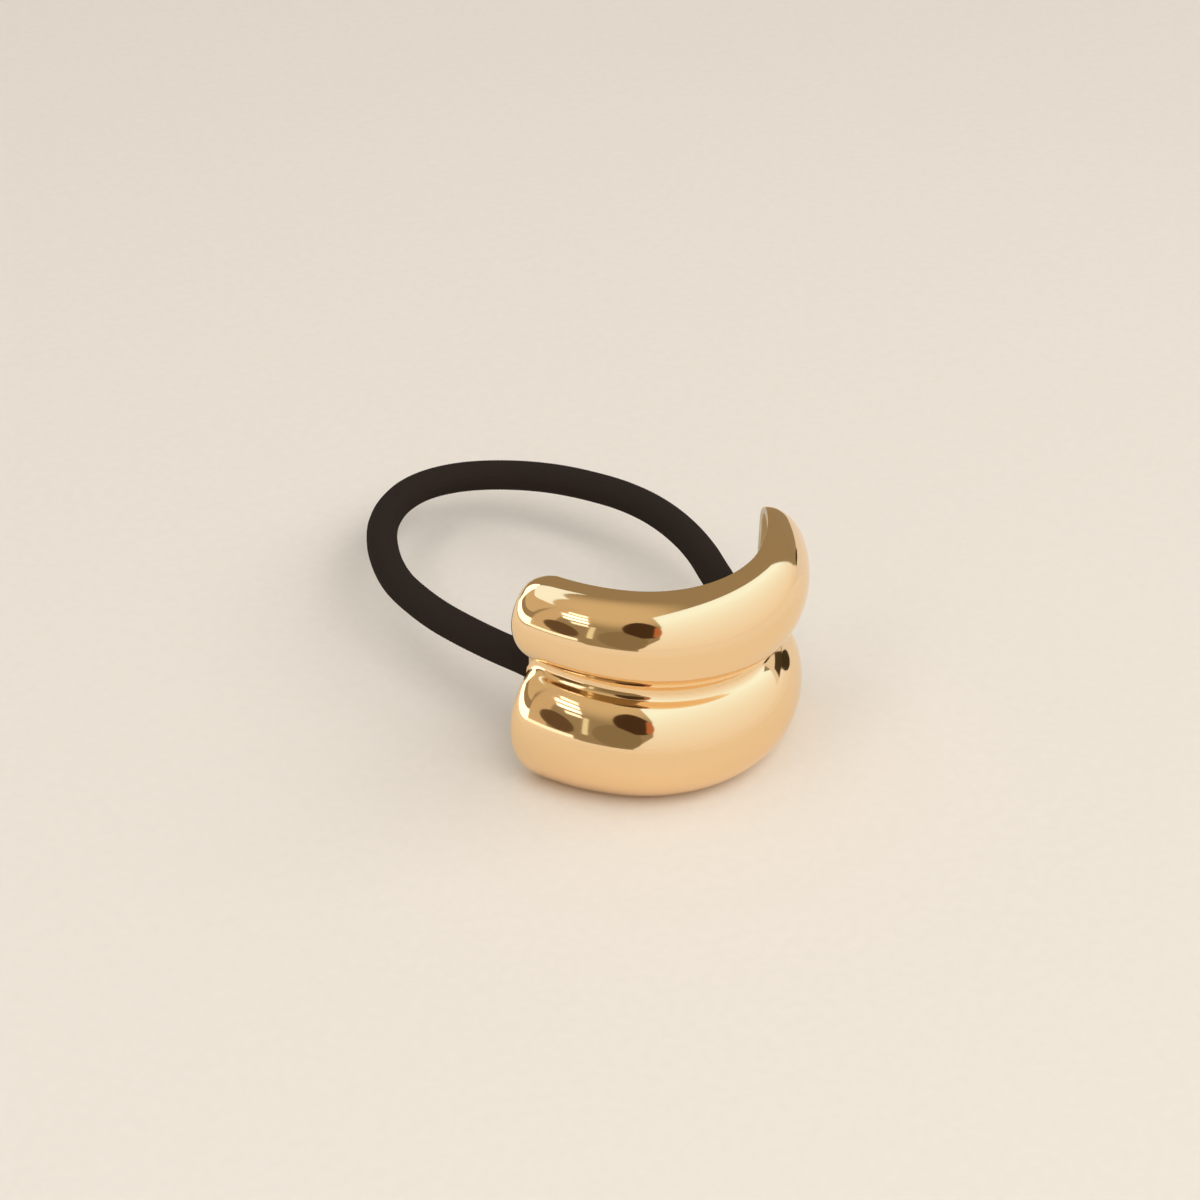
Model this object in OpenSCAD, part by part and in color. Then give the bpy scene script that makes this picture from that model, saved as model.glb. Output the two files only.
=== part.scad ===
// Metal cuff hair tie: a C-shaped cast cuff of two puffed ribs, hollow at the back,
// and a round elastic loop between its ends.
// Origin: on the surface that the cuff stands on, under the middle of the cuff's box,
// sockets included.
// The front of the cuff is at -Y, the elastic reaches to +Y and Z is up.

/* [Cuff plan] */
// Radius of the inner face across the front
front_inner_r = 12.8; // [12:0.1:13.4]
// Radius of the inner face along each side
side_inner_r = 19.8; // [18:0.1:22]
// Half angle of the front arc, in degrees
front_half_angle = 39; // [36:1:42]
// Angle that the inner face has turned at each end, in degrees
end_half_angle = 70; // [66:1:74]

/* [Ribs] */
// Height of the middle of the lower rib
lower_rib_z = 6.1; // [5.9:0.1:6.2]
// Radius of the lower rib's section
lower_rib_r = 6.8; // [6.7:0.1:7]
// Height of the middle of the upper rib
upper_rib_z = 19.2; // [19:0.1:19.4]
// Radius of the upper rib's section
upper_rib_r = 6; // [5.8:0.1:6.1]
// Depth of both ribs, from the inner face to the crown
rib_depth = 4.8; // [4.6:0.1:5]
// Rise of the groove from the right end to the left end
groove_rise = 4.6; // [0:0.2:4.8]
// Thickness of the cast wall, which is also the metal left behind the groove
wall = 1; // [0.8:0.1:1.2]
// Radius that rounds the ends of the ribs
end_round = 2.2; // [1.8:0.1:2.4]

/* [Sockets] */
// Outer radius of each socket tube
socket_r = 2.7; // [2.6:0.1:2.8]
// Length of each socket tube
socket_len = 5; // [4:0.5:6]
// How far each socket tube stands out of the cuff's end
socket_proud = 0.4; // [0.3:0.1:0.6]
// Metal left at the bottom of each socket
socket_floor = 1; // [0.8:0.1:1.5]
// Distance from the cuff's inner face to each socket's axis
socket_inset = 2.4; // [2.3:0.1:2.4]
// Height of each socket's axis
socket_z = 11.3; // [10.8:0.1:11.5]

/* [Elastic] */
// Diameter of the elastic
elastic_d = 3.5; // [3.2:0.1:3.7]
// Room round the elastic in each socket
elastic_room = 0.1; // [0.05:0.05:0.2]

/* [Hidden] */

body_steps = 32;
rib_sides = 16;
hollow_steps = 20;
hollow_sides = 8;
elastic_sides = 8;
socket_fn = 24;
strip_margin = 0.5;
back_cut = 0.3;
big = 100;

// Right half of the elastic's route, from its socket to the middle of the loop's far end,
// which sags under its own weight. Each row is half the loop's width there, y and z.
loop_rows = [
    [12.9, 10.9, 11.2],
    [14, 14.5, 10.9],
    [15.2, 18.7, 10.7],
    [16, 22.9, 10.4],
    [16.3, 27.1, 10.1],
    [16.1, 31.3, 9.7],
    [15.2, 35.3, 9.3],
    [13.8, 39.1, 8.8],
    [12.1, 42.6, 8.3],
    [10.2, 45.6, 7.8],
    [7.9, 48.3, 7.3],
    [5.4, 50.4, 6.9],
    [2.8, 51.8, 6.6]
];
loop_end = [0, 52.3, 6.5];

// Lengths along the inner face, measured from the middle of the front
front_half_len = front_inner_r * front_half_angle * PI / 180;
half_len = front_half_len + side_inner_r * (end_half_angle - front_half_angle) * PI / 180;

// Angle that the inner face has turned at length s, in degrees
function turned(s) = abs(s) < front_half_len
    ? s / front_inner_r * 180 / PI
    : sign(s) * (front_half_angle + (abs(s) - front_half_len) / side_inner_r * 180 / PI);

// Unit vectors square to the inner face and along it, in plan
function outward(s) = [sin(turned(s)), -cos(turned(s))];
function along(s) = [cos(turned(s)), sin(turned(s))];

// Centre and radius of the arc that holds s
function arc_centre(s) = abs(s) < front_half_len
    ? [0, 0]
    : (front_inner_r - side_inner_r) * [sign(s) * sin(front_half_angle), -cos(front_half_angle)];
function arc_r(s) = abs(s) < front_half_len ? front_inner_r : side_inner_r;

// Point that lies n outside the inner face at s, before the cuff is centred on the origin
function raw_point(s, n) = arc_centre(s) + (arc_r(s) + n) * outward(s);
front_y = raw_point(0, rib_depth)[1];
back_y = raw_point(half_len, -socket_inset)[1] + socket_proud * sin(end_half_angle)
    + socket_r * cos(end_half_angle);
middle_y = (front_y + back_y) / 2;
function plan_point(s, n) = raw_point(s, n) - [0, middle_y];

// Stations of a sweep that reaches to both ends, each as
// [length s, what the end rounding takes off the section there]
function stations(reach, round_r, steps) = concat(
    [for (a = [90:-15:15]) [-reach + round_r * (1 - sin(a)), round_r * (1 - cos(a))]],
    [for (i = [0:steps]) [(reach - round_r) * (2 * i / steps - 1), 0]],
    [for (a = [15:15:90]) [reach - round_r * (1 - sin(a)), round_r * (1 - cos(a))]]
);

// The groove rises towards the left end, so one rib gains there what the other loses.
// Each rib is its middle's height and its radius, and what the radius gains per mm of s.
rib_slope = groove_rise / half_len / 4;
lower_rib = [lower_rib_z, lower_rib_r, -rib_slope];
upper_rib = [upper_rib_z, upper_rib_r, rib_slope];
function rib_z(rib, s) = rib[0] - rib_slope * s;
function rib_r(rib, s) = rib[1] + rib[2] * s;

// Heights of the solid strip along the middle of the back, which carries the sockets
strip_low = socket_z - socket_r - strip_margin;
strip_high = rib_z(upper_rib, -half_len) - rib_r(upper_rib, -half_len) + wall;

// Solid between rings of points that follow each other, closed by its first and last ring.
// Each ring's points turn anticlockwise as seen from the ring after it.
module swept(rings) {
    n = len(rings[0]);
    last = len(rings) - 1;
    faces = concat(
        [[for (i = [0:n - 1]) i]],
        [for (k = [0:last - 1], i = [0:n - 1])
            let (a = k * n + i, b = k * n + (i + 1) % n)
            [a, a + n, b + n, b]],
        [[for (i = [n - 1:-1:0]) last * n + i]]
    );
    polyhedron([for (ring = rings, p = ring) p], faces, convexity = 6);
}

// Points of one rib's section at length s, on a circle of the given radius, between two
// angles that are measured from the crown
function rib_arc(rib, s, r, from_angle, to_angle, sides) = [
    for (i = [0:sides])
        let (
            a = from_angle + (to_angle - from_angle) * i / sides,
            p = plan_point(s, crown_n(rib, s) + r * cos(a))
        )
        [p[0], p[1], rib_z(rib, s) + r * sin(a)]
];

// Distance of a rib's centre from the inner face, and the angle at which its circle is n
// outside the inner face
function crown_n(rib, s) = rib_depth - rib_r(rib, s);
function angle_at(rib, s, r, n) = acos((n - crown_n(rib, s)) / r);

// Both ribs and the floor of the groove between them, before they are hollowed out
module body() {
    swept([for (stop = stations(half_len, end_round, body_steps))
        let (
            s = stop[0],
            // The groove's floor dips a little as each end rounds off, clear of the sockets.
            floor_n = wall - stop[1] / 6,
            low_r = rib_r(lower_rib, s) - stop[1],
            up_r = rib_r(upper_rib, s) - stop[1]
        )
        concat(
            rib_arc(upper_rib, s, up_r, angle_at(upper_rib, s, up_r, 0),
                -angle_at(upper_rib, s, up_r, floor_n), rib_sides),
            rib_arc(lower_rib, s, low_r, angle_at(lower_rib, s, low_r, floor_n),
                -angle_at(lower_rib, s, low_r, 0), rib_sides)
        )
    ]);
}

// Hollow of one rib. It opens to the back, and stops at the height of the solid strip
// along the middle of the back. way is 1 for the rib above the strip and -1 below it.
module hollow(rib, strip_z, way) {
    swept([for (stop = stations(half_len - wall, end_round - wall, hollow_steps))
        let (
            s = stop[0],
            r = rib_r(rib, s) - wall - stop[1],
            up_to_strip = asin(max(-1, min(1, (strip_z - rib_z(rib, s)) / r))),
            near = way * max(way * up_to_strip, -angle_at(rib, s, r, -back_cut / 2)),
            far = way * angle_at(rib, s, r, -back_cut),
            back = plan_point(s, -back_cut),
            corner = [back[0], back[1], rib_z(rib, s) + r * sin(near)]
        )
        way > 0
            ? concat(rib_arc(rib, s, r, far, near, hollow_sides), [corner])
            : concat([corner], rib_arc(rib, s, r, near, far, hollow_sides))
    ]);
}

// Places children on both sockets' axes, z outwards, level with the cuff's end
module in_sockets() {
    start = plan_point(half_len, -socket_inset);
    for (side = [-1, 1])
        translate([side * start[0], start[1], socket_z])
            rotate([0, side * 90, side * end_half_angle])
                children();
}

module cuff() {
    color("gold")
        difference() {
            union() {
                body();
                in_sockets()
                    translate([0, 0, socket_proud - socket_len])
                        cylinder(h = socket_len, r = socket_r, $fn = socket_fn);
            }
            hollow(lower_rib, strip_low, -1);
            hollow(upper_rib, strip_high, 1);
            in_sockets()
                translate([0, 0, socket_proud + socket_floor - socket_len])
                    cylinder(h = socket_len, r = elastic_d / 2 + elastic_room, $fn = socket_fn);
            translate([-big / 2, -big / 2, -big])
                cube(big);
        }
}

// Whole route of the elastic, from the bottom of the left socket to that of the right one.
// socket_point is on the right socket's axis, out past the cuff's end.
function socket_point(out) =
    let (p = plan_point(half_len, -socket_inset) + out * along(half_len))
    [p[0], p[1], socket_z];
socket_bottom = socket_proud + socket_floor - socket_len;
half_route = concat([socket_point(socket_bottom), socket_point(socket_proud)], loop_rows);
last_row = len(half_route) - 1;
route = concat(
    [for (p = half_route) [-p[0], p[1], p[2]]],
    [loop_end],
    [for (i = [last_row:-1:0]) half_route[i]]
);

function unit(v) = v / norm(v);

module elastic() {
    last = len(route) - 1;
    color("black")
        swept([for (i = [0:last])
            let (
                ahead = unit(route[min(i + 1, last)] - route[max(i - 1, 0)]),
                across = unit(cross([0, 0, 1], ahead)),
                above = cross(ahead, across)
            )
            [for (k = [0:elastic_sides - 1])
                let (a = k * 360 / elastic_sides)
                route[i] + elastic_d / 2 * (cos(a) * across + sin(a) * above)]
        ]);
}

cuff();
elastic();
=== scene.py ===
"""A metal cuff hair tie: a gold-plated cuff of two puffed ribs, hollow at the back, and a
black knitted elastic loop between its ends. It stands on its lower edge on a pale floor."""

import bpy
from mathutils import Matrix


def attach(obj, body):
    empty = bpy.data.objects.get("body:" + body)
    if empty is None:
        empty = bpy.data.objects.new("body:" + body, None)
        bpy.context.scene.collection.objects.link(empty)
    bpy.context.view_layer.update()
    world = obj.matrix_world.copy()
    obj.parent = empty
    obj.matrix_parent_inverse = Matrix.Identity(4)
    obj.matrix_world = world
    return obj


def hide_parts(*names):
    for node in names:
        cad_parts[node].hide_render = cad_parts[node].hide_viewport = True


bl_info = {
    "name": "Metal Cuff Hair Tie",
    "version": (1, 0, 0),
    "blender": (4, 5, 0),
    "location": "3D View > Sidebar > Hair Tie",
    "description": "Builds a gold-plated ponytail cuff with its knitted elastic loop",
    "category": "Add Mesh",
}

from math import acos, asin, atan2, cos, degrees, hypot, pi, radians, sin, sqrt

import bmesh
import bpy
from bpy.props import FloatProperty, FloatVectorProperty, IntProperty, PointerProperty
from mathutils import Matrix, Vector

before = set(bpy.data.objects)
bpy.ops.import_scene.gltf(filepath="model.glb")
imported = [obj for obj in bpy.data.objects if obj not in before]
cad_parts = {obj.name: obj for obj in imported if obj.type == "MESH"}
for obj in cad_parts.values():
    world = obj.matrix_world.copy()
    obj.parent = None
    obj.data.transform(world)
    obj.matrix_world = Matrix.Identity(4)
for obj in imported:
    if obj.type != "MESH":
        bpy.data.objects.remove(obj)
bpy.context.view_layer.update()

MM = 0.001
UP = Vector((0, 0, 1))
# Points nearer to each other than this become one: in a sweep, and after the Booleans
SWEEP_WELD = 0.002 * MM
CUT_WELD = 0.003 * MM


# ---------------------------------------------------------------- colours and nodes


def linear(hex_colour):
    """The linear red, green and blue of an sRGB hex colour."""
    parts = [int(hex_colour[i:i + 2], 16) / 255 for i in (1, 3, 5)]
    return tuple(p / 12.92 if p <= 0.04045 else ((p + 0.055) / 1.055) ** 2.4 for p in parts)


def add_node(tree, kind, inputs=None, **settings):
    """Adds a node. An input, by name or number, is a value or another node's output."""
    node = tree.nodes.new(kind)
    for name, value in settings.items():
        setattr(node, name, value)
    for name, value in (inputs or {}).items():
        if isinstance(value, bpy.types.NodeSocket):
            tree.links.new(value, node.inputs[name])
        else:
            node.inputs[name].default_value = value
    return node


def new_material(name):
    """An empty material and its node tree."""
    material = bpy.data.materials.new(name)
    material.use_nodes = True
    material.node_tree.nodes.clear()
    return material, material.node_tree


def length(name, description, mm, low, high):
    """A length that the user may change, given in millimetres and kept in metres."""
    return FloatProperty(name=name, description=description, default=mm * MM, min=low * MM,
                         max=high * MM, precision=4, subtype="DISTANCE", unit="LENGTH")


def angle(name, description, deg, low, high):
    """An angle that the user may change, given in degrees."""
    return FloatProperty(name=name, description=description, default=radians(deg),
                         min=radians(low), max=radians(high), subtype="ANGLE", unit="ROTATION")


def colour(name, description, hex_colour):
    """A colour that the user may change."""
    return FloatVectorProperty(name=name, description=description, size=3, min=0, max=1,
                               default=linear(hex_colour), subtype="COLOR")


# ---------------------------------------------------------------- sizes and colours


class CuffSizes(bpy.types.PropertyGroup):
    """Sizes and plating of the cuff."""
    front_r: length("Front Radius", "Inner face across the front", 12.8, 12, 13.4)
    side_r: length("Side Radius", "Inner face along each side", 19.8, 18, 22)
    front_angle: angle("Front Half Angle", "Half angle of the front arc", 39, 36, 42)
    end_angle: angle("End Angle", "How far the inner face has turned at each end", 70, 66, 74)
    lower_z: length("Lower Rib Height", "Middle of the lower rib", 6.1, 5.9, 6.2)
    lower_r: length("Lower Rib Radius", "Section of the lower rib", 6.8, 6.7, 7)
    upper_z: length("Upper Rib Height", "Middle of the upper rib", 19.2, 19, 19.4)
    upper_r: length("Upper Rib Radius", "Section of the upper rib", 6, 5.8, 6.1)
    depth: length("Rib Depth", "From the inner face to the crown", 4.8, 4.6, 5)
    rise: length("Groove Rise", "How far the groove climbs to the left", 4.6, 0, 4.8)
    wall: length("Wall", "Thickness of the cast wall", 1, 0.8, 1.2)
    end_round: length("End Rounding", "Radius that rounds the ribs' ends", 2.2, 1.8, 2.4)
    groove_r: length("Groove Fillet", "Radius of the groove's bottom", 1.15, 0.8, 1.4)
    groove_floor: length("Groove Floor", "Least metal under the groove", 0.6, 0.4, 0.8)
    notch: length("Notch", "How far the groove ends short of the ribs", 1.1, 0, 1.5)
    tip_drop: length("Tip Drop", "Rounding of the upper rib's inner corners", 0.85, 0, 1)
    edge: length("Edge Softness", "Rounding of the cast edges", 0.2, 0.05, 0.3)
    socket_r: length("Socket Radius", "Outside of each socket tube", 2.7, 2.6, 2.8)
    socket_len: length("Socket Length", "Length of each socket tube", 5, 4, 6)
    socket_proud: length("Socket Reach", "How far each tube stands out", 0.4, 0.3, 0.6)
    socket_sunk: length("Socket Gap", "How far a tube stops short of its reach", 0.9, 0, 1)
    socket_floor: length("Socket Floor", "Metal at the bottom of a socket", 1, 0.8, 1.5)
    socket_inset: length("Socket Inset", "Socket's axis from the inner face", 2.4, 2.3, 2.4)
    socket_z: length("Socket Height", "Height of both sockets' axes", 11.3, 10.8, 11.5)
    socket_bore: length("Socket Bore", "Radius of the hole in each socket", 1.85, 1.7, 2)
    gold: colour("Gold", "Colour of the plating", "#F9D7A6")
    # The plating's colour in the hollows, paled to cream: partly the gold, partly a painted
    # reflection of the floor
    cast_gold_and_reflection: colour("Cast Gold", "Colour of the plating in the hollows", "#F3E5CB")


class ElasticSizes(bpy.types.PropertyGroup):
    """Size and yarn of the elastic."""
    diameter: length("Diameter", "Thickness of the elastic", 3.5, 3.2, 3.7)
    stitch: length("Stitch Length", "One course of the knitted cover", 0.5, 0.4, 0.9)
    relief: length("Stitch Relief", "How far a stitch stands proud", 0.07, 0, 0.12)
    wales: IntProperty(name="Wales", description="Columns of stitches round the elastic",
                       default=20, min=12, max=26)
    yarn: colour("Yarn", "Colour of the knitted cover", "#2E2621")


class StageSizes(bpy.types.PropertyGroup):
    """Camera, floor and light."""
    view_distance: length("View Distance", "From the camera to its aim", 344.2, 300, 400)
    view_azimuth: angle("View Azimuth", "Camera's heading, right of +Y", 33.457, -90, 90)
    view_elevation: angle("View Elevation", "How far the camera looks down", 33.93, 5, 85)
    view_roll: angle("View Roll", "Turn of the camera about its axis", -1.79, -10, 10)
    lens: FloatProperty(name="Lens", description="Focal length on a 36 mm sensor, in mm",
                        default=90, min=35, max=150)
    key: FloatProperty(name="Key Light", description="Strength of the soft lights in front",
                       default=1.0, min=0, max=4)
    fill: FloatProperty(name="Fill Light", description="Strength of the lights at the left",
                        default=1.0, min=0, max=4)
    floor: colour("Floor", "Colour of the floor sheet", "#F0E8DC")
    board_low: colour("Board Foot", "Light from the foot of the white board", "#CDC7C1")
    board_high: colour("Board Top", "Light from the top of the white board", "#D8EEFF")
    studio_low: colour("Studio", "Colour of the unlit studio", "#9A8D76")
    studio_high: colour("Ceiling", "Colour of the lit part of its ceiling", "#D6C6A9")


# ---------------------------------------------------------------- shapes


def closed_sweep(along, around, place):
    """A closed solid from a grid that is wrapped round. place(a, b) is the point at share a
    of its length and share b of its outline. The grid's edges are welded and its ends filled.
    Its UV map holds both shares."""
    bm = bmesh.new()
    bm.loops.layers.uv.new("thread")
    bmesh.ops.create_grid(bm, x_segments=along, y_segments=around, size=0.5, calc_uvs=True)
    for vert in bm.verts:
        vert.co = place(vert.co.x + 0.5, vert.co.y + 0.5)
    bmesh.ops.remove_doubles(bm, verts=bm.verts, dist=SWEEP_WELD)
    bmesh.ops.holes_fill(bm, edges=[e for e in bm.edges if e.is_boundary])
    bmesh.ops.recalc_face_normals(bm, faces=bm.faces)
    return bm


def piece_from(bm, name, materials=()):
    """Makes an object of a bmesh, with its place in its mesh."""
    mesh = bpy.data.meshes.new(name)
    bm.to_mesh(mesh)
    bm.free()
    for material in materials:
        mesh.materials.append(material)
    piece = bpy.data.objects.new(name, mesh)
    bpy.context.scene.collection.objects.link(piece)
    return piece


def cut_or_join(piece, other, operation):
    """Applies an exact Boolean to a piece and deletes the other object."""
    modifier = piece.modifiers.new(operation.lower(), "BOOLEAN")
    modifier.operation = operation
    modifier.solver = "EXACT"
    modifier.object = other
    graph = bpy.context.evaluated_depsgraph_get()
    old = piece.data
    made = bpy.data.meshes.new_from_object(piece.evaluated_get(graph), depsgraph=graph)
    piece.modifiers.clear()
    piece.data = made
    made.name = piece.name
    bpy.data.meshes.remove(old)
    bpy.data.objects.remove(other)


# ---------------------------------------------------------------- cuff


class CuffPlan:
    """The cuff's shape in plan, and the section of its ribs along it."""

    def __init__(self, size):
        self.size = size
        self.front_len = size.front_r * size.front_angle
        self.half_len = self.front_len + size.side_r * (size.end_angle - size.front_angle)
        self.slope = size.rise / self.half_len / 4
        self.middle_y = 0
        socket = self.point(self.half_len, -size.socket_inset, 0)
        back_y = (socket.y + size.socket_proud * sin(size.end_angle)
                  + size.socket_r * cos(size.end_angle))
        self.middle_y = (back_y - size.front_r - size.depth) / 2

    def turned(self, s):
        """Angle that the inner face has turned at length s from the front's middle."""
        beyond = abs(s) - self.front_len
        if beyond < 0:
            return s / self.size.front_r
        return (self.size.front_angle + beyond / self.size.side_r) * (1 if s > 0 else -1)

    def point(self, s, n, z):
        """The point at length s, n outside the inner face, at height z."""
        size, turn = self.size, self.turned(s)
        if abs(s) < self.front_len:
            x, y, r = 0, 0, size.front_r
        else:
            shift = size.front_r - size.side_r
            x = shift * sin(size.front_angle) * (1 if s > 0 else -1)
            y, r = -shift * cos(size.front_angle), size.side_r
        return Vector((x + (r + n) * sin(turn), y - (r + n) * cos(turn) - self.middle_y, z))

    def lower(self, s):
        """Lower rib's section: its centre's n and z, and its radius."""
        r = self.size.lower_r - self.slope * s
        return self.size.depth - r, self.size.lower_z - self.slope * s, r

    def upper(self, s):
        """Upper rib's section: its centre's n and z, and its radius."""
        r = self.size.upper_r + self.slope * s
        return self.size.depth - r, self.size.upper_z - self.slope * s, r

    def station(self, share, reach, rounding, end_steps, middle_steps):
        """Length s at a share of a sweep, and what the end's rounding takes off there."""
        step = share * (2 * end_steps + middle_steps)
        from_end = min(step, 2 * end_steps + middle_steps - step)
        side = -1 if share < 0.5 else 1
        if from_end >= end_steps:
            return (reach - rounding) * (2 * (step - end_steps) / middle_steps - 1), 0
        turn = (1 - from_end / end_steps) * pi / 2
        return side * (reach - rounding * (1 - sin(turn))), rounding * (1 - cos(turn))


# Keeps a point in its own part of an outline where its share was rounded
STEP_MARGIN = 1e-4


def part_and_share(share, parts):
    """Which part of an outline a share of it lies in, and how far along that part."""
    step = share * sum(parts.values())
    for name, steps in parts.items():
        if step <= steps + STEP_MARGIN:
            return name, step / steps
        step -= steps
    return name, 1


def soft_max(a, b, soft):
    """The larger of two lengths, with a soft change from one to the other."""
    return (a + b + hypot(a - b, soft)) / 2


# Parts of the body's outline and of a hollow's, each with its number of steps
OUTLINE = {"foot": 6, "lower": 48, "groove": 16, "upper": 48, "back": 26}
HOLLOW = {"dome": 36, "ledge": 8, "opening": 12}
# Steps round each end of a sweep, and along its middle
BODY_STEPS = (12, 110)
HOLLOW_STEPS = (6, 70)
SOCKET_SIDES = 64
# How softly the groove's fillet runs into its floor
GROOVE_SOFTNESS = 0.3 * MM
# How far the hollows and the bores are cut past the metal, so that they open
OPENING_CUT = 0.3 * MM
BORE_CUT = 1 * MM
# Metal that the lower hollow leaves under the sockets
LEDGE_MARGIN = 0.5 * MM
# How far from each end the notch starts, and half its height
NOTCH_REACH = 3 * MM
NOTCH_HALF_HEIGHT = 2.6 * MM
# How far from the inner face the rounding of the upper rib's corners reaches
TIP_WIDTH = 2 * MM
# The middle of the room for the hair, in plan
HAIR_MIDDLE = Vector((0, 3)) * MM
# Edges sharper than the first angle are rounded, and those sharper than the second shade so
ROUNDED_ANGLE = radians(50)
SHARP_ANGLE = radians(45)


def cuff_body(plan):
    """Both ribs with the groove between them, flat at the back and under the foot."""
    size = plan.size
    end_steps, middle_steps = BODY_STEPS

    def place(a, b):
        s, take = plan.station(a, plan.half_len, size.end_round, end_steps, middle_steps)
        part, t = part_and_share(b, OUTLINE)
        low_n, low_z, low_full = plan.lower(s)
        up_n, up_z, up_full = plan.upper(s)
        low_r, up_r = low_full - take, up_full - take
        to_back = acos(-low_n / low_r)
        to_foot = asin(low_z / low_r) if low_z < low_r else pi
        start = -min(to_back, to_foot)
        top = acos(-up_n / up_r)
        if part == "foot":
            n = max(0, low_n + low_r * cos(start)) * t
            z = low_z + low_r * sin(start)
        elif part == "back":
            n = 0
            low_end, high_end = low_z + low_r * sin(start), up_z + up_r * sin(top)
            z = high_end + (low_end - high_end) * t
        else:
            # The groove's circle touches both ribs' circles from outside.
            a_side, b_side = low_full + size.groove_r, up_full + size.groove_r
            apart = hypot(up_n - low_n, up_z - low_z)
            foot = (a_side ** 2 - b_side ** 2 + apart ** 2) / (2 * apart)
            off = sqrt(a_side ** 2 - foot ** 2)
            un, uz = (up_n - low_n) / apart, (up_z - low_z) / apart
            groove_n, groove_z = low_n + foot * un + off * uz, low_z + foot * uz - off * un
            low_join = atan2(groove_z - low_z, groove_n - low_n)
            up_join = atan2(groove_z - up_z, groove_n - up_n)
            if part == "lower":
                turn = start + (low_join - start) * t
                n, z = low_n + low_r * cos(turn), low_z + low_r * sin(turn)
            elif part == "upper":
                turn = up_join + (top - up_join) * t
                n, z = up_n + up_r * cos(turn), up_z + up_r * sin(turn)
            else:
                turn = pi + low_join + (up_join - low_join) * t
                r = size.groove_r + take
                n, z = groove_n + r * cos(turn), groove_z + r * sin(turn)
                n = soft_max(n, size.groove_floor, GROOVE_SOFTNESS)
        # The groove ends short of the ribs, so a notch parts their rounded ends.
        beyond = max(0, (abs(s) - plan.half_len) / NOTCH_REACH + 1)
        groove_middle = (low_z + low_full + up_z - up_full) / 2
        across = min(1, abs(z - groove_middle) / NOTCH_HALF_HEIGHT)
        s -= (1 if s > 0 else -1) * size.notch * beyond * (1 - across ** 2) ** 2
        # The polishing wheel has rounded the upper rib's corners at the inner face.
        inwards = max(0, 1 - n / TIP_WIDTH) ** 2
        z -= size.tip_drop * beyond * inwards * max(0, (z - up_z) / up_full)
        return plan.point(s, n, z)

    return closed_sweep(2 * end_steps + middle_steps, sum(OUTLINE.values()), place)


def rib_hollow(plan, rib, ledge_z, way):
    """The hollow of one rib, open at the back. It stops at the height ledge_z, and way is 1
    for the rib above it and -1 below."""
    size = plan.size
    end_steps, middle_steps = HOLLOW_STEPS
    reach, rounding = plan.half_len - size.wall, size.end_round - size.wall

    def place(a, b):
        s, take = plan.station(a, reach, rounding, end_steps, middle_steps)
        part, t = part_and_share(b, HOLLOW)
        rib_n, rib_z, rib_full = rib(s)
        r = rib_full - size.wall - take
        to_ledge = asin(max(-1, min(1, (ledge_z - rib_z) / r)))
        near = way * max(way * to_ledge, -acos((-OPENING_CUT / 2 - rib_n) / r))
        far = way * acos((-OPENING_CUT - rib_n) / r)
        near_z, far_z = rib_z + r * sin(near), rib_z + r * sin(far)
        if part == "dome":
            turn = far + (near - far) * t
            return plan.point(s, rib_n + r * cos(turn), rib_z + r * sin(turn))
        if part == "ledge":
            n = rib_n + r * cos(near)
            return plan.point(s, n + (-OPENING_CUT - n) * t, near_z)
        return plan.point(s, -OPENING_CUT, near_z + (far_z - near_z) * t)

    return closed_sweep(2 * end_steps + middle_steps, sum(HOLLOW.values()), place)


def socket_frame(plan, side):
    """Frame of a socket, its z axis outwards and its origin level with the cuff's end."""
    size = plan.size
    out = Vector((side * cos(size.end_angle), sin(size.end_angle), 0))
    start = plan.point(plan.half_len, -size.socket_inset, size.socket_z)
    start.x *= side
    across = UP.cross(out)
    return Matrix.Translation(start) @ Matrix((across, UP, out)).transposed().to_4x4()


def socket_rods(plan, radius, bottom, top):
    """A round rod on each socket's axis."""
    bm = bmesh.new()
    for side in (-1, 1):
        middle = Matrix.Translation((0, 0, (top + bottom) / 2))
        bmesh.ops.create_cone(bm, cap_ends=True, segments=SOCKET_SIDES, radius1=radius,
                              radius2=radius, depth=top - bottom,
                              matrix=socket_frame(plan, side) @ middle)
    bmesh.ops.recalc_face_normals(bm, faces=bm.faces)
    return bm


def merged(first, second):
    """Adds a second bmesh to the first."""
    spare = bpy.data.meshes.new("spare")
    second.to_mesh(spare)
    second.free()
    first.from_mesh(spare)
    bpy.data.meshes.remove(spare)
    return first


def on_inner_face(face):
    """Whether a face of the body belongs to its upright inner face, which faces the hair."""
    towards_hair = face.normal.xy.dot(face.calc_center_median().xy - HAIR_MIDDLE) < 0
    return abs(face.normal.z) < 0.1 and towards_hair


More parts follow.
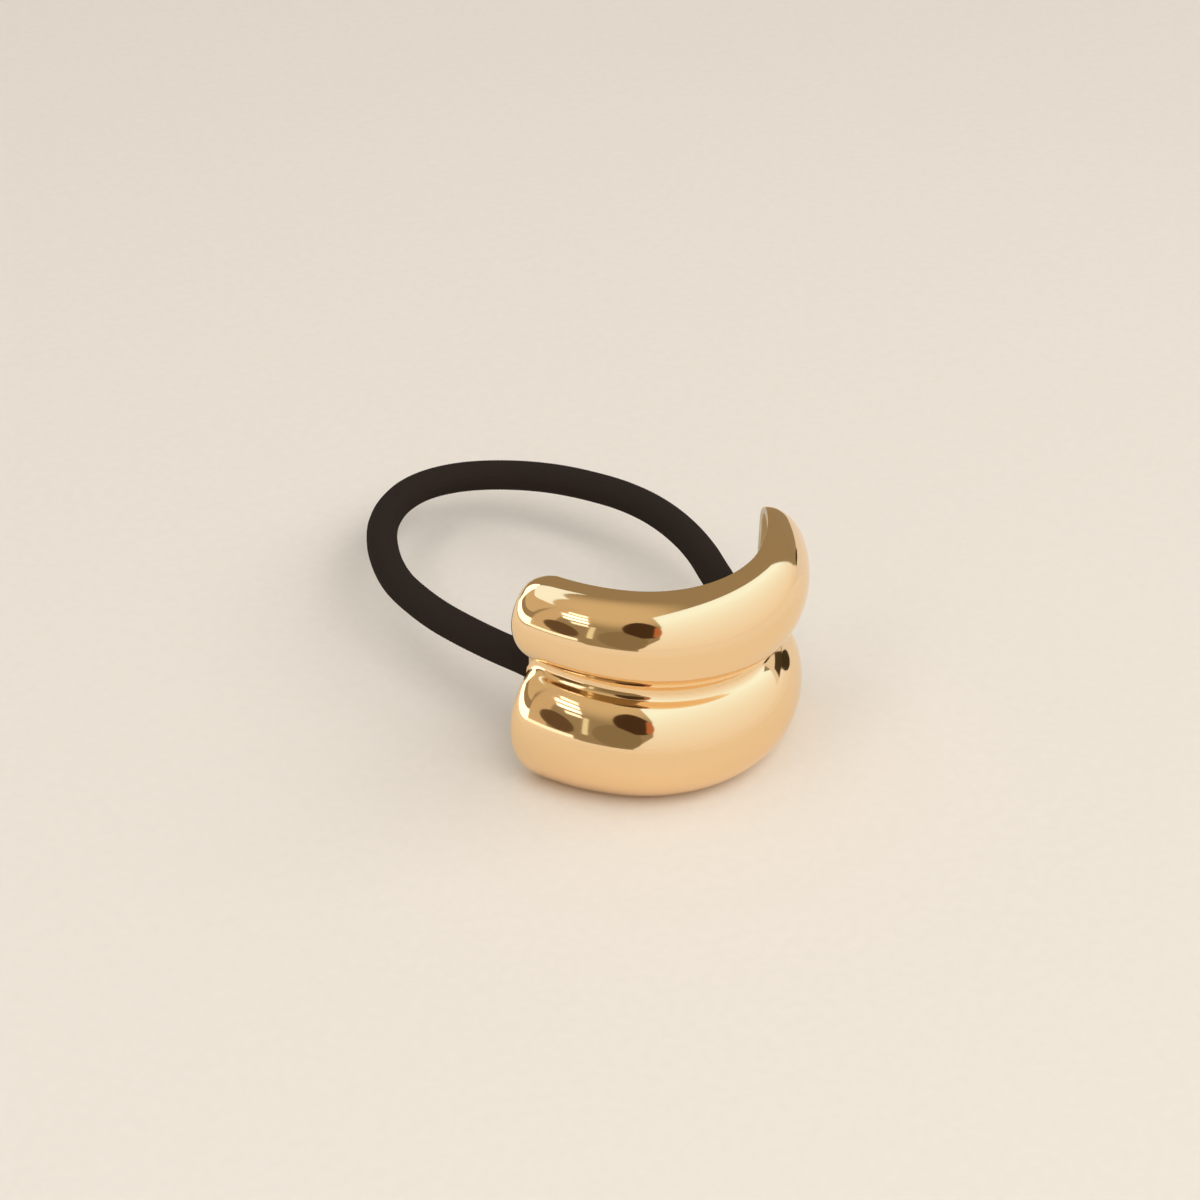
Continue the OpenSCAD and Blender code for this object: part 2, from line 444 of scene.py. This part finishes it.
class HAIRTIE_OT_cuff(bpy.types.Operator):
    """Build the cuff: two puffed ribs, hollow at the back, with a socket at each end"""
    bl_idname = "hairtie.cuff"
    bl_label = "Cuff"

    def execute(self, context):
        size = context.scene.hairtie_cuff
        plan = CuffPlan(size)
        body = cuff_body(plan)
        for face in body.faces:
            # The inner face keeps its cast finish, and so do the hollows. Their paler cream
            # colour is a painted reflection of the floor.
            face.material_index = 1 if on_inner_face(face) else 0
        cuff = piece_from(body, "plated_cuff",
                          [polished_gold_plate(size), cast_gold_and_reflection_plate(size)])
        bottom = size.socket_proud - size.socket_len
        tubes = socket_rods(plan, size.socket_r, bottom, size.socket_proud - size.socket_sunk)
        cut_or_join(cuff, piece_from(tubes, "socket_tubes"), "UNION")
        ledge_low = size.socket_z - size.socket_r - LEDGE_MARGIN
        _, upper_z, upper_r = plan.upper(-plan.half_len)
        ledge_high = upper_z - upper_r + size.wall
        hollows = merged(rib_hollow(plan, plan.lower, ledge_low, -1),
                         rib_hollow(plan, plan.upper, ledge_high, 1))
        bores = socket_rods(plan, size.socket_bore, bottom + size.socket_floor,
                            size.socket_proud + BORE_CUT)
        hollows = merged(hollows, bores)
        for face in hollows.faces:
            face.material_index = 1
        cut_or_join(cuff, piece_from(hollows, "hollows"), "DIFFERENCE")
        soften_edges(cuff, size.edge)
        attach(cuff, "root")
        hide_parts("cuff")
        return {"FINISHED"}


def soften_edges(piece, width):
    """Rounds the outer edges of a cast piece and shades it smooth."""
    bm = bmesh.new()
    bm.from_mesh(piece.data)
    bmesh.ops.remove_doubles(bm, verts=bm.verts, dist=CUT_WELD)
    bmesh.ops.dissolve_degenerate(bm, edges=bm.edges, dist=CUT_WELD)
    sharp = [e for e in bm.edges
             if e.is_manifold and e.is_convex and e.calc_face_angle(0) > ROUNDED_ANGLE]
    bmesh.ops.bevel(bm, geom=sharp, offset=width, offset_type="OFFSET", affect="EDGES",
                    segments=3, profile=0.5, material=-1, clamp_overlap=True)
    for face in bm.faces:
        face.smooth = True
    bm.to_mesh(piece.data)
    bm.free()
    piece.data.set_sharp_from_angle(angle=SHARP_ANGLE)
    even = piece.modifiers.new("even_shading", "WEIGHTED_NORMAL")
    even.keep_sharp = True


def polished_gold_plate(size):
    """Gold electroplate on polished zinc alloy: a pale yellow mirror. The polishing wheel
    leaves it very slightly wavy, in waves about 7 mm long."""
    material, tree = new_material("polished_gold_plate")
    where = add_node(tree, "ShaderNodeTexCoord").outputs["Object"]
    waves = add_node(tree, "ShaderNodeTexNoise",
                     {"Vector": where, "Scale": 1 / (7 * MM), "Detail": 1.0})
    wavy = add_node(tree, "ShaderNodeBump", {"Height": waves.outputs["Fac"],
                                             "Strength": 0.25, "Distance": 0.05 * MM})
    shader = add_node(tree, "ShaderNodeBsdfPrincipled", {
        "Base Color": (*size.gold, 1), "Metallic": 1.0, "Roughness": 0.06,
        "Normal": wavy.outputs["Normal"]})
    add_node(tree, "ShaderNodeOutputMaterial", {"Surface": shader.outputs["BSDF"]})
    return material


def cast_gold_and_reflection_plate(size):
    """Gold electroplate on the metal as it was cast, in the hollows that no wheel reaches:
    a satin yellow with the mould's grain, 0.25 mm across, paled to cream as a painted
    reflection of the floor."""
    material, tree = new_material("cast_gold_and_reflection_plate")
    where = add_node(tree, "ShaderNodeTexCoord").outputs["Object"]
    grain = add_node(tree, "ShaderNodeTexNoise",
                     {"Vector": where, "Scale": 1 / (0.25 * MM), "Detail": 3.0})
    rough = add_node(tree, "ShaderNodeBump", {"Height": grain.outputs["Fac"],
                                              "Strength": 0.5, "Distance": 0.02 * MM})
    shader = add_node(tree, "ShaderNodeBsdfPrincipled", {
        # The base colour is paler than the polished gold: a painted reflection of the cream
        # floor
        "Base Color": (*size.cast_gold_and_reflection, 1), "Metallic": 1.0, "Roughness": 0.42,
        "Normal": rough.outputs["Normal"]})
    add_node(tree, "ShaderNodeOutputMaterial", {"Surface": shader.outputs["BSDF"]})
    return material


# ---------------------------------------------------------------- elastic

# Faces along one stitch, and across one wale
STITCH_STEPS = 4
# How much of the relief a wale's crown makes, and how much the roll of each course
WALE_SHARE = 0.6
COURSE_SHARE = 0.4
# Right half of the elastic's route in millimetres, as in the part's source, from the bottom
# of its socket to the middle of the far end: half the loop's width, y and z.
HALF_ROUTE = (
    (10.7141, 4.5119, 11.3), (12.0822, 8.2707, 11.3), (12.9, 10.9, 11.2), (14, 14.5, 10.9),
    (15.2, 18.7, 10.7), (16, 22.9, 10.4), (16.3, 27.1, 10.1), (16.1, 31.3, 9.7),
    (15.2, 35.3, 9.3), (13.8, 39.1, 8.8), (12.1, 42.6, 8.3), (10.2, 45.6, 7.8),
    (7.9, 48.3, 7.3), (5.4, 50.4, 6.9), (2.8, 51.8, 6.6), (0, 52.3, 6.5),
)


def elastic_route():
    """The whole route from the left socket to the right one, in metres."""
    left = [Vector((-x, y, z)) * MM for x, y, z in HALF_ROUTE]
    return left + [Vector((-p.x, p.y, p.z)) for p in reversed(left[:-1])]


def smooth_path(points, steps):
    """Points at equal distances on one smooth curve through the given points."""
    spans, dense = 24, [points[0]]
    padded = [points[0] * 2 - points[1], *points, points[-1] * 2 - points[-2]]
    for before, start, end, after in zip(padded, padded[1:], padded[2:], padded[3:]):
        for i in range(1, spans + 1):
            t = i / spans
            dense.append((start * 2 + (end - before) * t
                          + (before * 2 - start * 5 + end * 4 - after) * t ** 2
                          + (start * 3 - before - end * 3 + after) * t ** 3) / 2)
    lengths = [0]
    for a, b in zip(dense, dense[1:]):
        lengths.append(lengths[-1] + (b - a).length)
    path, k = [], 0
    for i in range(steps + 1):
        target = lengths[-1] * i / steps
        while k < len(dense) - 2 and lengths[k + 1] < target:
            k += 1
        share = (target - lengths[k]) / (lengths[k + 1] - lengths[k])
        path.append(dense[k].lerp(dense[k + 1], share))
    return path, lengths[-1]


class HAIRTIE_OT_elastic(bpy.types.Operator):
    """Build the elastic: a knitted round cord from one socket to the other"""
    bl_idname = "hairtie.elastic"
    bl_label = "Elastic"

    def execute(self, context):
        size = context.scene.hairtie_elastic
        route = elastic_route()
        # A rough first pass measures the route, so that whole stitches can fill it.
        total = smooth_path(route, 10)[1]
        along = STITCH_STEPS * round(total / size.stitch)
        path, total = smooth_path(route, along)
        frames = []
        for i, point in enumerate(path):
            ahead = (path[min(i + 1, along)] - path[max(i - 1, 0)]).normalized()
            across = UP.cross(ahead).normalized()
            frames.append((point, across, ahead.cross(across)))
        courses = total / size.stitch

        def place(a, b):
            point, across, above = frames[round(a * along)]
            column = (b * size.wales) % 1 - 0.5
            course = a * courses - abs(column)
            ridge = (WALE_SHARE * cos(pi * column)
                     + COURSE_SHARE * (1 + cos(2 * pi * course)) / 2)
            r = size.diameter / 2 - size.relief * (1 - ridge)
            turn = 2 * pi * b
            return point + (across * cos(turn) + above * sin(turn)) * r

        cord = closed_sweep(along, STITCH_STEPS * size.wales, place)
        for face in cord.faces:
            face.smooth = True
        elastic = piece_from(cord, "knitted_elastic", [knitted_cover(size, total)])
        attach(elastic, "root")
        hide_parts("elastic")
        return {"FINISHED"}


def knitted_cover(size, total):
    """Polyester yarn knitted over a rubber core: dull black with a brown cast and a soft
    nap, because its fibres, a bundle every 0.12 mm, scatter the light."""
    material, tree = new_material("knitted_polyester")
    shares = add_node(tree, "ShaderNodeUVMap", uv_map="thread").outputs["UV"]
    # The UV map in millimetres, along the cord and round it.
    on_cord = add_node(tree, "ShaderNodeMapping", {
        "Vector": shares, "Scale": (total / MM, pi * size.diameter / MM, 1)}).outputs["Vector"]
    fibres = add_node(tree, "ShaderNodeTexNoise",
                      {"Vector": on_cord, "Scale": 1 / 0.12, "Detail": 2.0})
    fluff = add_node(tree, "ShaderNodeBump", {"Height": fibres.outputs["Fac"],
                                              "Strength": 0.6, "Distance": 0.05 * MM})
    dark, light = [c * 0.6 for c in size.yarn], [min(1, c * 1.5) for c in size.yarn]
    shade = add_node(tree, "ShaderNodeMix", {
        "Factor": fibres.outputs["Fac"], "A": (*dark, 1), "B": (*light, 1)},
        data_type="RGBA")
    shader = add_node(tree, "ShaderNodeBsdfPrincipled", {
        "Base Color": shade.outputs["Result"], "Roughness": 0.95,
        "Specular IOR Level": 0.05, "Normal": fluff.outputs["Normal"]})
    add_node(tree, "ShaderNodeOutputMaterial", {"Surface": shader.outputs["BSDF"]})
    return material


# ---------------------------------------------------------------- camera and stage


# The point on the floor that the camera looks at
AIM = Vector((9.15, 29.7, 0)) * MM


class HAIRTIE_OT_camera(bpy.types.Operator):
    """Place the camera in front of the hair tie, to the left and above"""
    bl_idname = "hairtie.camera"
    bl_label = "Camera"

    def execute(self, context):
        stage = context.scene.hairtie_stage
        level = cos(stage.view_elevation)
        ahead = Vector((sin(stage.view_azimuth) * level, cos(stage.view_azimuth) * level,
                        -sin(stage.view_elevation)))
        right = ahead.cross(UP).normalized()
        above = right.cross(ahead)
        turn_c, turn_s = cos(stage.view_roll), sin(stage.view_roll)
        axes = (right * turn_c - above * turn_s, right * turn_s + above * turn_c, -ahead)
        data = bpy.data.cameras.new("camera")
        data.lens = stage.lens
        data.sensor_width = 36
        data.clip_start, data.clip_end = 0.01, 30
        camera = bpy.data.objects.new("camera", data)
        camera.matrix_world = (Matrix.Translation(AIM - ahead * stage.view_distance)
                               @ Matrix(axes).transposed().to_4x4())
        context.scene.collection.objects.link(camera)
        context.scene.camera = camera
        return {"FINISHED"}


def glow(name, hex_colour, strength):
    """A plain light-giving material for a panel."""
    material, tree = new_material(name)
    shader = add_node(tree, "ShaderNodeEmission", {
        "Color": (*linear(hex_colour), 1), "Strength": strength})
    add_node(tree, "ShaderNodeOutputMaterial", {"Surface": shader.outputs["Emission"]})
    return material


def direction(azimuth, elevation):
    """Unit vector at an azimuth in degrees right of +Y, and an elevation."""
    a, e = radians(azimuth), radians(elevation)
    return Vector((sin(a) * cos(e), cos(a) * cos(e), sin(e)))


# The middle of the cuff, and its right end
MIDDLE = Vector((0, 0, 12)) * MM
RIGHT_END = Vector((17, 2, 8)) * MM
BOARD_DISTANCE = 0.9
BOARD_AZIMUTH = 157.8
BOARD_STRENGTH = 1.5
# Height at which the board reaches its top colour, as a share of its distance
BOARD_BLEND = 1.65
# Corners of the white board, as shares of its distance: to the side, and up
BOARD = ((-4.6, 0), (1.39, 0), (1.04, 0.31), (0.85, 0.48), (0.71, 1.22), (0.72, 2.55),
         (-4.6, 2.55))
# Panels that only the metal reflects. Each row is a name, the lowest and highest azimuth
# and elevation in degrees as the cuff sees them, how far the azimuth shifts per degree of
# elevation, whether the panel is oval, a colour and a strength. Each row is a step nearer
# than the one above it, and hides it.
PANEL_DISTANCE = 0.8
PANEL_STEP = 0.01
PANEL_COLUMNS, PANEL_ROWS, OVAL_SIDES = 12, 6, 32
PANELS = (
    ("side_reflector", 256, 266, 2, 60, 0, False, "#D1BEA4", 1),
    ("left_reflector", 268, 340, 27, 58, 0, False, "#D6C6A9", 0.95),
    ("left_light", 266, 340, -2, 14, 0, False, "#FFFFFF", 2.2),
    ("left_strip_light", 326, 350, 10, 60, 0, False, "#FFFFFF", 2.2),
    ("top_reflector", 285, 350, 55, 72, 1.6, False, "#DFEFFF", 1.4),
    ("brown_card", 243, 260, 3, 27, 0.2, True, "#665340", 1),
    ("low_strip_light", 243, 266, -3, 2, 0, False, "#FFFFFF", 1.4),
    ("louvre_light_1", 240, 249, 31, 34.5, 0.4, False, "#FFFFFF", 1.6),
    ("louvre_light_2", 241, 255, 37, 40.5, 0.4, False, "#FFFFFF", 2.8),
    ("louvre_light_3", 243, 258, 42.5, 46.5, 0.4, False, "#FFFFFF", 2.8),
    ("louvre_light_4", 245, 257, 48.5, 52, 0.4, False, "#FFFFFF", 2),
    ("tall_strip_light", 236, 238.8, 8, 33, 0, False, "#F2EFD8", 1),
    ("grey_card", 206, 234, -4, 33, 0, True, "#8A7D66", 1),
    ("dark_card", 195, 223, 22, 54, 0.1, True, "#483626", 1),
    ("copper_card", 195, 202, 24, 44, -0.15, True, "#B8744C", 1),
)
# Cards so close to the right end that each rib sees them at another height
NEAR_DISTANCE = 0.07
NEAR_STEP = 0.07
NEAR_PANELS = (
    ("near_reflector", 46, 72, -7, 8, 0, False, "#CDC7C1", 1.35),
    ("near_card", 70, 84, -5, 11, 0, True, "#3E3524", 1),
)
# Level cards beside the right end: the upper rib sees the top of each, and the lower rib its
# underside. Each row is a name, the least and greatest reach in millimetres, the lowest and
# highest azimuth in degrees, a height in millimetres and a colour.
ROOFS = (
    ("near_roof", 7, 54, 50, 102, 17.5, "#CDC7C1"),
    ("near_roof_lining", 18, 54, 71, 93, 17.2, "#3E3524"),
)
ROOF_STRENGTH = 1.35
ROOF_COLUMNS = 8
# Soft lights that the metal doesn't reflect. Each row is a name, an azimuth and an elevation
# in degrees, the side of a square in metres, watts, and the setting that scales them.
LIGHTS = (
    ("key_light", 188, 53, 0.7, 4.7, "key"),
    ("side_light", 116, 42, 0.7, 2, "key"),
    ("top_light", 285, 68, 0.5, 1.1, "fill"),
    ("small_left_light", 256, 46, 0.22, 0.5, "fill"),
)
EVEN_LIGHT = ("#FFFAF5", 0.4)
# Half the width of the floor, and the reach of what the metal reflects of it, in metres. Each
# row is from and to an azimuth in degrees, and the reach there.
FLOOR_HALF = 4
SHEET_REACH = 0.25
SHEET_REACHES = ((78, 213, 5), (30, 78, 0.17), (213, 241, 0.18))
SHEET_LIFT = 0.02 * MM
SHEET_SIDES = 180
# Distance over which the reflected floor changes from shaded to evenly lit, and its strength
SHADE_ENDS = (0.04, 0.12)
SHEET_STRENGTH = 1.45
# Azimuth and elevation of the lit part of the ceiling
LIT_CEILING = (235, 68)


def reflected_only(piece):
    """Keeps a piece of the studio for the metal's reflections alone."""
    piece.visible_camera = piece.visible_diffuse = piece.visible_shadow = False


def add_panel(row, middle, distance):
    """A panel on a sphere round the cuff, given as in the rows of PANELS."""
    name, az_low, az_high, el_low, el_high, skew, oval, hex_colour, strength = row
    bm = bmesh.new()
    if oval:
        bmesh.ops.create_circle(bm, cap_ends=True, segments=OVAL_SIDES, radius=0.5)
    else:
        bmesh.ops.create_grid(bm, x_segments=PANEL_COLUMNS, y_segments=PANEL_ROWS, size=0.5)
    for vert in bm.verts:
        elevation = el_low + (el_high - el_low) * (vert.co.y + 0.5)
        azimuth = az_low + (az_high - az_low) * (vert.co.x + 0.5)
        azimuth += skew * (elevation - (el_low + el_high) / 2)
        vert.co = middle + direction(azimuth, elevation) * distance
    reflected_only(piece_from(bm, name, [glow(name, hex_colour, strength)]))


def add_roof(row):
    """A level card beside the cuff's right end, given as in the rows of ROOFS."""
    name, near, far, az_low, az_high, height, hex_colour = row
    bm = bmesh.new()
    bmesh.ops.create_grid(bm, x_segments=ROOF_COLUMNS, y_segments=1, size=0.5)
    for vert in bm.verts:
        reach = near + (far - near) * (vert.co.y + 0.5)
        azimuth = az_low + (az_high - az_low) * (vert.co.x + 0.5)
        vert.co = RIGHT_END + direction(azimuth, 0) * reach * MM
        vert.co.z = height * MM
    reflected_only(piece_from(bm, name, [glow(name, hex_colour, ROOF_STRENGTH)]))


def add_board(stage):
    """A white board in front of the cuff, brighter towards its top."""
    facing = direction(BOARD_AZIMUTH, 0)
    side = direction(BOARD_AZIMUTH + 90, 0)
    bm = bmesh.new()
    bm.faces.new([bm.verts.new((facing + side * u + UP * v) * BOARD_DISTANCE)
                  for u, v in BOARD])
    material, tree = new_material("lit_board")
    where = add_node(tree, "ShaderNodeTexCoord").outputs["Object"]
    height = add_node(tree, "ShaderNodeSeparateXYZ", {"Vector": where}).outputs["Z"]
    share = add_node(tree, "ShaderNodeMapRange", {
        "Value": height, "From Min": 0, "From Max": BOARD_BLEND * BOARD_DISTANCE})
    shade = add_node(tree, "ShaderNodeMix", {
        "Factor": share.outputs["Result"], "A": (*stage.board_low, 1),
        "B": (*stage.board_high, 1)}, data_type="RGBA")
    shader = add_node(tree, "ShaderNodeEmission", {
        "Color": shade.outputs["Result"], "Strength": BOARD_STRENGTH})
    add_node(tree, "ShaderNodeOutputMaterial", {"Surface": shader.outputs["Emission"]})
    reflected_only(piece_from(bm, "board", [material]))


def add_floor(stage):
    """The floor that the camera sees, and the part of it that the metal reflects."""
    bm = bmesh.new()
    bmesh.ops.create_grid(bm, x_segments=1, y_segments=1, size=FLOOR_HALF)
    floor = piece_from(bm, "floor", [matt_card(stage)])
    floor.visible_glossy = False
    bm = bmesh.new()
    bmesh.ops.create_circle(bm, cap_ends=True, segments=SHEET_SIDES, radius=SHEET_REACH)
    for vert in bm.verts:
        azimuth = degrees(atan2(vert.co.x, vert.co.y)) % 360
        for low, high, reach in SHEET_REACHES:
            if low < azimuth < high:
                vert.co *= reach / SHEET_REACH
        vert.co.z = SHEET_LIFT
    bmesh.ops.triangulate(bm, faces=bm.faces)
    reflected_only(piece_from(bm, "floor_sheet", [lit_card(stage)]))


def add_soft_light(row, stage):
    """A white square light, given as in the rows of LIGHTS."""
    name, azimuth, elevation, side, watts, setting = row
    data = bpy.data.lights.new(name, "AREA")
    data.shape, data.size, data.energy = "SQUARE", side, watts * getattr(stage, setting)
    light = bpy.data.objects.new(name, data)
    towards = direction(azimuth, elevation)
    light.matrix_world = (Matrix.Translation(MIDDLE + towards)
                          @ towards.to_track_quat("Z", "Y").to_matrix().to_4x4())
    light.visible_glossy = light.visible_camera = False
    bpy.context.scene.collection.objects.link(light)


class HAIRTIE_OT_stage(bpy.types.Operator):
    """Lay the floor and set up the light"""
    bl_idname = "hairtie.stage"
    bl_label = "Stage"

    def execute(self, context):
        stage = context.scene.hairtie_stage
        add_floor(stage)
        studio_light(stage)
        add_board(stage)
        for i, row in enumerate(PANELS):
            add_panel(row, MIDDLE, PANEL_DISTANCE * (1 - PANEL_STEP * i))
        for i, row in enumerate(NEAR_PANELS):
            add_panel(row, RIGHT_END, NEAR_DISTANCE * (1 - NEAR_STEP * i))
        for row in ROOFS:
            add_roof(row)
        for row in LIGHTS:
            add_soft_light(row, stage)
        context.scene.view_settings.view_transform = "Standard"
        return {"FINISHED"}


def matt_card(stage):
    """Matt uncoated card: no shine, and a faint mottle where its fibres clump, about every
    1.2 mm."""
    material, tree = new_material("matt_card")
    where = add_node(tree, "ShaderNodeTexCoord").outputs["Object"]
    mottle = add_node(tree, "ShaderNodeTexNoise",
                      {"Vector": where, "Scale": 1 / (1.2 * MM), "Detail": 4.0})
    low, high = [c * 0.97 for c in stage.floor], [min(1, c * 1.03) for c in stage.floor]
    shade = add_node(tree, "ShaderNodeMix", {
        "Factor": mottle.outputs["Fac"], "A": (*low, 1), "B": (*high, 1)}, data_type="RGBA")
    shader = add_node(tree, "ShaderNodeBsdfPrincipled", {
        "Base Color": shade.outputs["Result"], "Roughness": 0.95,
        "Specular IOR Level": 0.1})
    add_node(tree, "ShaderNodeOutputMaterial", {"Surface": shader.outputs["BSDF"]})
    return material


def lit_card(stage):
    """The same card as the metal reflects it: with its shadows near the cuff, and glowing
    evenly farther off, where the soft lights would fall away."""
    material, tree = new_material("lit_card")
    where = add_node(tree, "ShaderNodeTexCoord").outputs["Object"]
    away = add_node(tree, "ShaderNodeVectorMath", {0: where}, operation="LENGTH")
    share = add_node(tree, "ShaderNodeMapRange", {
        "Value": away.outputs["Value"], "From Min": SHADE_ENDS[0], "From Max": SHADE_ENDS[1]},
        interpolation_type="SMOOTHSTEP")
    near = add_node(tree, "ShaderNodeBsdfDiffuse", {"Color": (*stage.floor, 1)})
    far = add_node(tree, "ShaderNodeEmission", {
        "Color": (*stage.board_low, 1), "Strength": SHEET_STRENGTH})
    both = add_node(tree, "ShaderNodeMixShader", {
        0: share.outputs["Result"], 1: near.outputs["BSDF"], 2: far.outputs["Emission"]})
    add_node(tree, "ShaderNodeOutputMaterial", {"Surface": both.outputs["Shader"]})
    return material


def studio_light(stage):
    """The studio round the stage: the metal reflects its dim walls and lit ceiling, an even
    light fills the shadows, and past the floor the camera sees the floor's colour."""
    world = bpy.data.worlds.new("studio")
    bpy.context.scene.world = world
    world.use_nodes = True
    tree = world.node_tree
    tree.nodes.clear()
    where = add_node(tree, "ShaderNodeTexCoord").outputs["Generated"]
    lit_side = add_node(tree, "ShaderNodeVectorMath", {0: where, 1: direction(*LIT_CEILING)},
                        operation="DOT_PRODUCT")
    # The ceiling is lit within 37 degrees of there, and fully within 8 degrees.
    share = add_node(tree, "ShaderNodeMapRange", {
        "Value": lit_side.outputs["Value"], "From Min": 0.8, "From Max": 0.99},
        interpolation_type="SMOOTHSTEP")
    shade = add_node(tree, "ShaderNodeMix", {
        "Factor": share.outputs["Result"], "A": (*stage.studio_low, 1),
        "B": (*stage.studio_high, 1)}, data_type="RGBA")
    studio = add_node(tree, "ShaderNodeBackground", {"Color": shade.outputs["Result"]})
    even_colour, even_strength = EVEN_LIGHT
    even = add_node(tree, "ShaderNodeBackground", {
        "Color": (*linear(even_colour), 1), "Strength": even_strength})
    paper = add_node(tree, "ShaderNodeBackground", {"Color": (*stage.floor, 1)})
    rays = add_node(tree, "ShaderNodeLightPath").outputs
    lit = add_node(tree, "ShaderNodeMixShader", {
        0: rays["Is Glossy Ray"], 1: even.outputs["Background"],
        2: studio.outputs["Background"]})
    both = add_node(tree, "ShaderNodeMixShader", {
        0: rays["Is Camera Ray"], 1: lit.outputs["Shader"], 2: paper.outputs["Background"]})
    add_node(tree, "ShaderNodeOutputWorld", {"Surface": both.outputs["Shader"]})


# ---------------------------------------------------------------- add-on


class HAIRTIE_PT_panel(bpy.types.Panel):
    """Sizes, colours and the steps that build the hair tie"""
    bl_idname = "HAIRTIE_PT_panel"
    bl_label = "Metal Cuff Hair Tie"
    bl_space_type = "VIEW_3D"
    bl_region_type = "UI"
    bl_category = "Hair Tie"

    def draw(self, context):
        for operator in OPERATORS:
            self.layout.operator(operator.bl_idname)
        for group in GROUPS:
            box = self.layout.box()
            for name in GROUPS[group].__annotations__:
                box.prop(getattr(context.scene, group), name)


GROUPS = {"hairtie_cuff": CuffSizes, "hairtie_elastic": ElasticSizes,
          "hairtie_stage": StageSizes}
OPERATORS = (HAIRTIE_OT_camera, HAIRTIE_OT_elastic, HAIRTIE_OT_cuff, HAIRTIE_OT_stage)
CLASSES = (*GROUPS.values(), *OPERATORS, HAIRTIE_PT_panel)


def register():
    for cls in CLASSES:
        bpy.utils.register_class(cls)
    for name, group in GROUPS.items():
        setattr(bpy.types.Scene, name, PointerProperty(type=group))


def unregister():
    for name in GROUPS:
        delattr(bpy.types.Scene, name)
    for cls in reversed(CLASSES):
        bpy.utils.unregister_class(cls)


def main():
    register()
    bpy.ops.hairtie.camera()
    bpy.ops.hairtie.elastic()
    bpy.ops.hairtie.cuff()
    bpy.ops.hairtie.stage()
    bpy.context.view_layer.update()


if __name__ == "__main__":
    main()
